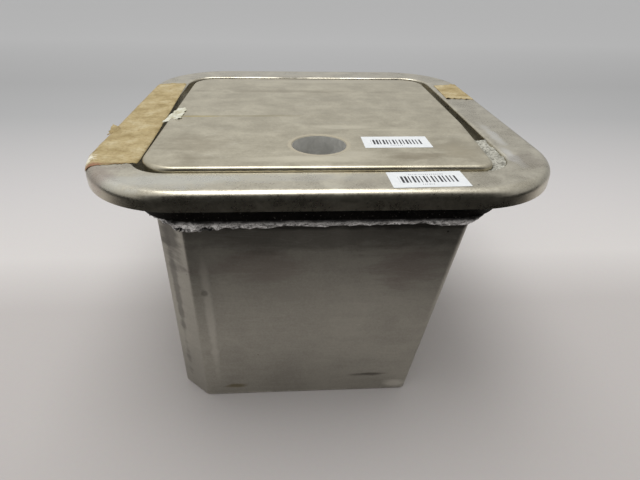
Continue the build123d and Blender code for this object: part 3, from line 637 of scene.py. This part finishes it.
def crepe_paper(tree):
    """Masking tape: tan paper, creped every 0.9 mm with painted shade in its troughs, browned in blotches,
    dirty and pale where torn.
    """
    where = add(tree, "TexCoord", give="Object")
    across = add(tree, "Mapping", {"Scale": (1 / (7 * MM), 1 / (0.9 * MM), 1 / (7 * MM))}, {"Vector": where})
    creping = add(tree, "TexNoise", {"Scale": 1.0, "Detail": 2.0}, {"Vector": across})
    age = add(tree, "TexNoise", {"Scale": 1 / (16 * MM), "Detail": 6.0, "Roughness": 0.65},
              {"Vector": where})
    grime = add(tree, "TexNoise", {"Scale": 1 / (2.5 * MM), "Detail": 4.0, "Roughness": 0.7},
                {"Vector": where})
    tans = [(0.34, srgb("988558")), (0.52, srgb("B3A176")), (0.70, srgb("C4B792"))]
    colour = add(tree, "ValToRGB", {"stops": tans}, {"Fac": age})
    dirt = add(tree, "ValToRGB", {"stops": [(0.53, 0.0), (0.66, 0.60)]}, {"Fac": grime})
    colour = add(tree, "Mix", {"data_type": "RGBA", "B": srgb("8A6E45")}, {"Factor": dirt, "A": colour})
    colour = marked(tree, colour, where, grime, torn_end_marks)
    # Painted shade: the colour darkens in the crepe's troughs, in step with its bump.
    shade = add(tree, "MapRange", {"From Min": 0.3, "From Max": 0.7, "To Min": 0.86, "To Max": 1.06},
                {"Value": creping})
    colour = add(tree, "VectorMath", {"operation": "SCALE"}, {0: colour, "Scale": shade})
    relief = add(tree, "Bump", {"Strength": 0.55, "Distance": 0.18 * MM}, {"Height": creping})
    surface = {"Base Color": colour, "Normal": relief}
    return add(tree, "BsdfPrincipled", {"Roughness": 0.78, "IOR": 1.46}, surface)


crepe = finished("aged_crepe_paper_tape", crepe_paper)
outer_round = 7.0
flange_corner = 78.0
paper_thick = 0.16


def between(points, at):
    """The value at a place on a line through (place, value) points."""
    for (start, low), (end, high) in zip(points, points[1:]):
        if at <= end:
            break
    share = min(max((at - start) / (end - start), 0.0), 1.0)
    return low + share * (high - low)


def over_flange(side, y, flat_start, outward):
    """A point and normal on the flange's skin, this many mm outward from the inner start of its flat top.

    Short of that start, the tape hangs over the gap and sags with the square of its reach.
    """
    half_x, half_y = flange_high.x / MM, flange_high.y / MM
    past = max(abs(y) - (half_y - flange_corner), 0.0)

    def reach(inset):
        """How far out the flange comes at this Y, measured to a line inset from its edge."""
        return half_x - flange_corner + math.sqrt((flange_corner - inset) ** 2 - past ** 2)

    flat = reach(outer_round) - flat_start
    turn = min(max(outward - flat, 0.0) / outer_round, math.pi / 2)
    down = max(outward - flat - outer_round * math.pi / 2, 0.0)
    inset = outer_round * (1 - math.sin(turn))
    x = min(flat_start + outward, reach(outer_round)) if turn == 0 else reach(inset)
    sag = 0.03 * min(outward, 0.0) ** 2
    z = top - outer_round * (1 - math.cos(turn)) - down - sag
    lean = math.asin(past / flange_corner) * math.copysign(1, y)
    across = math.sin(turn)
    normal = Vector((side * across * math.cos(lean), across * math.sin(lean), math.cos(turn)))
    return Vector((side * x, y, z)), normal


def sheet_mesh(name, rows, columns, place, flip=False):
    """A grid of faces whose corners are given by place(step, share), each running from 0 to 1, in mm."""
    steps = [(row / rows, column / columns) for row in range(rows + 1) for column in range(columns + 1)]
    vertices = [place(step, share) * MM for step, share in steps]
    faces = []
    for row in range(rows):
        for column in range(columns):
            corner = row * (columns + 1) + column
            quad = (corner, corner + 1, corner + columns + 2, corner + columns + 1)
            faces.append(quad[::-1] if flip else quad)
    mesh = bpy.data.meshes.new(name)
    mesh.from_pydata(vertices, [], faces)
    return mesh


def paper_piece(name, mesh, material, body, node=None):
    """Give a sheet its paper thickness and its body, and hide the node it stands for."""
    piece = new_piece(name, mesh, material)
    thick = piece.modifiers.new("paper", "SOLIDIFY")
    thick.thickness = paper_thick * MM
    thick.offset = 1.0
    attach(piece, body)
    if node:
        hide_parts(node)


def stuck_tape(name, node, side, flat_start, inside, outside, front_end, back_end, seed):
    """A length of tape laid over the flange: its inner and outer edges, then its two torn ends, in mm."""

    def place(step, share):
        middle_y = between(front_end, share) * (1 - step) + between(back_end, share) * step
        end = abs(2 * step - 1)
        torn = noise.noise(Vector((share * 24, step * 2, seed)))
        torn += 0.5 * noise.noise(Vector((share * 70, step, seed)))
        y = middle_y + 1.5 * torn * end ** 6
        fray = 0.9 * noise.noise(Vector((y / 3, seed, 1))) + 0.6 * noise.noise(Vector((y / 1.2, seed, 2)))
        outward = between(inside, y) * (1 - share) + (outside + fray) * share
        point, normal = over_flange(side, y, flat_start, outward)
        here = Vector((share * 9, y / 6, seed))
        bubble = max(0.0, noise.noise(here) - 0.12) * 1.6 + 0.25 * abs(noise.noise(here * 3))
        lift = 1.3 * end ** 30 * max(0.0, noise.noise(Vector((share * 6, seed, step * 3))) + 0.15)
        return point + normal * (0.05 + 0.35 * bubble + lift)

    paper_piece(name, sheet_mesh(name, 150, 34, place, side < 0), crepe, "box", node)


stuck_tape("creped_tape_left", "masking_tape_left", -1, flat_start=143.5,
           inside=((-130, -7.4), (-70, -6.6), (0, -4.5), (104, -0.5)), outside=41.0,
           front_end=((0.0, -130.0), (0.4, -133.5), (0.72, -136.0), (0.84, -127.0), (1.0, -117.0)),
           back_end=((0.0, 104.0), (0.2, 108.0), (1.0, 101.0)), seed=1.7)
stuck_tape("creped_tape_right", "masking_tape_right", 1, flat_start=142.5,
           inside=((46, 1.8), (103, 3.2)), outside=31.0,
           front_end=((0.0, 46.5), (0.5, 45.0), (1.0, 42.0)),
           back_end=((0.0, 103.0), (1.0, 109.0)), seed=5.2)


def crumpled(corners, crease, seed):
    """Place points on a torn, creased scrap between four corners."""
    a, b, c, d = [Vector(corner) for corner in corners]

    def place(step, share):
        flat = (a * (1 - share) + b * share) * (1 - step) + (d * (1 - share) + c * share) * step
        rag_x = noise.noise(Vector((step * 7, seed, share)))
        rag_y = noise.noise(Vector((share * 5, step * 2, seed)))
        fold = abs(noise.noise(Vector((flat.x / 3.0, flat.y / 4.5, seed))))
        return flat + 1.3 * Vector((rag_x, rag_y, 0)) + Vector((0, 0, crease * fold))

    return place


# A small torn tab stands up from the left tape's outer edge.
edge = flange_low.x / MM
tab_corners = ((edge + 7, -64, top - 1), (edge + 0.5, -66, top - 2), (edge + 1.5, -52, top + 3),
               (edge + 8, -53, top))
tab = crumpled(tab_corners, crease=2.4, seed=4.0)
paper_piece("torn_tape_tab", sheet_mesh("torn_tape_tab", 14, 12, tab, True), crepe, "box")

# ---- Torn scrap on the cover ----
# A crumpled chip of white paper backing, torn by hand and stuck by its old glue to the cover's left
# edge. It is chalky, with yellowed spots.


def torn_paper(tree):
    """Torn paper: chalky white, faintly yellowed with old glue."""
    where = add(tree, "TexCoord", give="Object")
    stain = add(tree, "TexNoise", {"Scale": 1 / (5 * MM), "Detail": 5.0}, {"Vector": where})
    whites = [(0.32, srgb("B4AF93")), (0.60, srgb("D6D5C6"))]
    colour = add(tree, "ValToRGB", {"stops": whites}, {"Fac": stain})
    return add(tree, "BsdfPrincipled", {"Roughness": 0.85}, {"Base Color": colour})


scrap_corners = ((-138, -41, face - 1.6), (-122.5, -35, face + 0.2), (-122.5, -4, face + 0.2),
                 (-131, -4, face + 0.2))
scrap = crumpled(scrap_corners, crease=1.9, seed=7.0)
chalky = finished("torn_white_paper", torn_paper)
paper_piece("crumpled_scrap", sheet_mesh("crumpled_scrap", 28, 16, scrap), chalky, "cover", "tape_scrap")

# ---- Dried sealant ----
# Sandy filler, packed by hand into the gap at the cover's front right corner. It has dried to pale
# grey crumbs, with painted shade in the gaps between them.


def dried_filler(tree):
    """Dried filler: pale grey grains, with painted shade in the gaps between them."""
    where = add(tree, "TexCoord", give="Object")
    grains = add(tree, "TexVoronoi", {"Scale": 1 / (1.9 * MM)}, {"Vector": where}, "Distance")
    shade = add(tree, "TexNoise", {"Scale": 1 / (6 * MM), "Detail": 5.0}, {"Vector": where})
    colour = add(tree, "ValToRGB", {"stops": [(0.3, srgb("97958A")), (0.6, srgb("BDBBAF"))]}, {"Fac": shade})
    # Painted shade: the gaps between the grains are darkened.
    painted_gap_shade = add(tree, "MapRange", {"From Min": 0.45, "From Max": 0.80, "To Max": 0.60}, {"Value": grains})
    colour = add(tree, "Mix", {"data_type": "RGBA", "B": srgb("5A584F")}, {"Factor": painted_gap_shade, "A": colour})
    relief = add(tree, "Bump", {"Strength": 0.7, "Distance": -0.6 * MM}, {"Height": grains})
    return add(tree, "BsdfPrincipled", {"Roughness": 0.86}, {"Base Color": colour, "Normal": relief})


solid = bpy.data.objects.new("solid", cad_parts["corner_sealant"].data.copy())
bpy.context.scene.collection.objects.link(solid)
grid = solid.modifiers.new("grid", "REMESH")
grid.mode = "VOXEL"
grid.voxel_size = 0.6 * MM
crumbs = bpy.data.meshes.new_from_object(solid.evaluated_get(bpy.context.evaluated_depsgraph_get()))
bpy.data.objects.remove(solid)
for vertex in crumbs.vertices:
    at = vertex.co / MM
    heave = vertex.normal.z * (1.9 * noise.noise(at / 5) + 1.1 * noise.noise(at / 1.8) + 0.4)
    vertex.co.z += heave * MM
filler = new_piece("sealant_crumbs", crumbs, finished("dried_sandy_filler", dried_filler))
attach(filler, "box")
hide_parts("corner_sealant")
